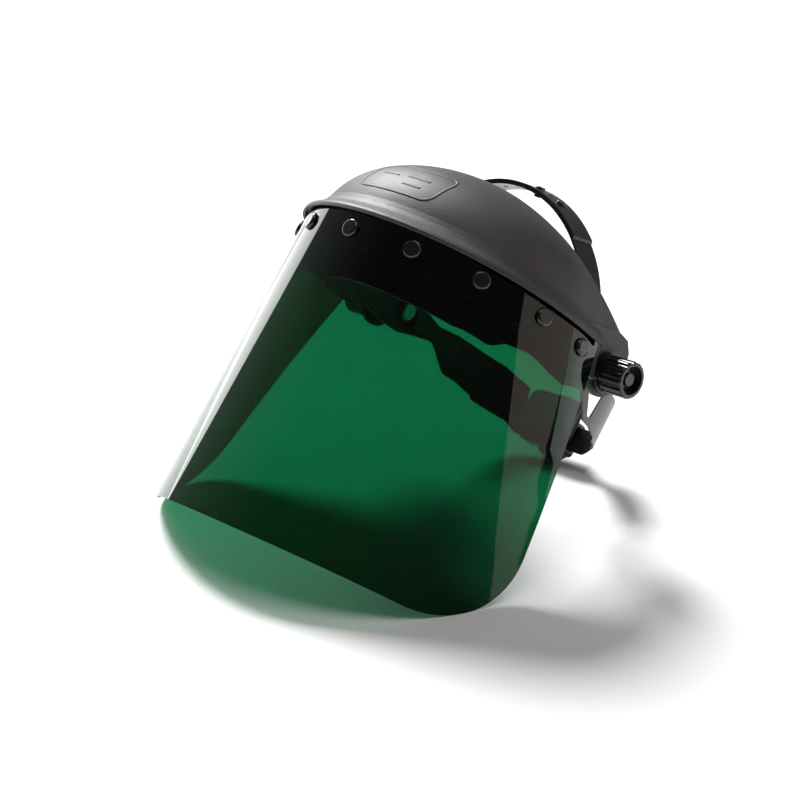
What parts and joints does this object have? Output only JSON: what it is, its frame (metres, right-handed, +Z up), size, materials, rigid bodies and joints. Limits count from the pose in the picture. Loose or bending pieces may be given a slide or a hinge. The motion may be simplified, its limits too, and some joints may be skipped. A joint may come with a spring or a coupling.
{
  "type": "face shield",
  "caption": "Face shield with a moulded browguard, a tinted wrap-around window and a ratchet headgear, tilting on two tension knobs.",
  "frame": {"origin": "under the middle of the object, on the table it stands on", "axes": "+X to the wearer's left, -Y the way the shield faces, +Z up; symmetric left to right about X = 0"},
  "size_m": [0.2878, 0.3264, 0.2329],
  "materials": {
    "browguard": "satin fine-grained moulding",
    "window": "polished tinted polycarbonate",
    "buttons": "gloss black moulding",
    "headgear_plastic": "semi-gloss black moulding",
    "foam": "soft knitted cover",
    "gear_plastic": "natural acetal",
    "knob_plastic": "gloss black moulding",
    "steel": "zinc plated",
    "fibre": "matt",
    "brass": "turned"
  },
  "bodies": {
    "headgear": {"headband": "headgear_plastic", "brow_pad": "foam", "crown_strap_left": "headgear_plastic", "crown_strap_right": "headgear_plastic", "crown_pins": "buttons", "pivot_bolt_left": "steel", "pivot_bolt_right": "steel", "pivot_spacer_left": "headgear_plastic", "pivot_spacer_right": "headgear_plastic", "friction_washer_left": "fibre", "friction_washer_right": "fibre", "spring_washer_left": "steel", "spring_washer_right": "steel", "ratchet_base": "headgear_plastic", "ratchet_cover": "headgear_plastic", "click_ring": "gear_plastic", "housing_screws": "steel", "nape_pad": "foam"},
    "shield": {"browguard": "browguard", "window": "window", "window_buttons": "buttons"},
    "knob_left": {"tension_knob_left": "knob_plastic", "knob_insert_left": "brass"},
    "knob_right": {"tension_knob_right": "knob_plastic", "knob_insert_right": "brass"},
    "nape_left": {"nape_strap_left": "headgear_plastic"},
    "nape_right": {"nape_strap_right": "headgear_plastic"},
    "ratchet": {"ratchet_knob": "knob_plastic", "ratchet_pinion": "gear_plastic", "knob_screw": "steel", "click_spring": "steel"}
  },
  "joints": [
    {"name": "shield_tilt", "type": "hinge", "parent": "headgear", "child": "shield", "pos_m": [0, 0.07394, 0.10771], "axis": [-1, 0, 0], "range_deg": [0, 95]},
    {"name": "knob_left_turn", "type": "hinge", "parent": "headgear", "child": "knob_left", "pos_m": [0.118, 0.07394, 0.10771], "axis": [1, 0, 0], "range_deg": [-30, 270]},
    {"name": "knob_right_turn", "type": "hinge", "parent": "headgear", "child": "knob_right", "pos_m": [-0.118, 0.07394, 0.10771], "axis": [-1, 0, 0], "range_deg": [-30, 270]},
    {"name": "ratchet_turn", "type": "hinge", "parent": "headgear", "child": "ratchet", "pos_m": [0, 0.1451, 0.01902], "axis": [0, 0.7775, -0.6289], "range_deg": [0, 114.59]},
    {"name": "nape_left_slide", "type": "slide", "parent": "headgear", "child": "nape_left", "axis": [-1, 0, 0], "range_m": [0, 0.01]},
    {"name": "nape_right_slide", "type": "slide", "parent": "headgear", "child": "nape_right", "axis": [1, 0, 0], "range_m": [0, 0.01]}
  ],
  "couplings": [
    {"joint": "ratchet_turn", "follows": "nape_left_slide", "rad_per_m": 200},
    {"joint": "nape_right_slide", "follows": "nape_left_slide", "ratio": 1}
  ]
}
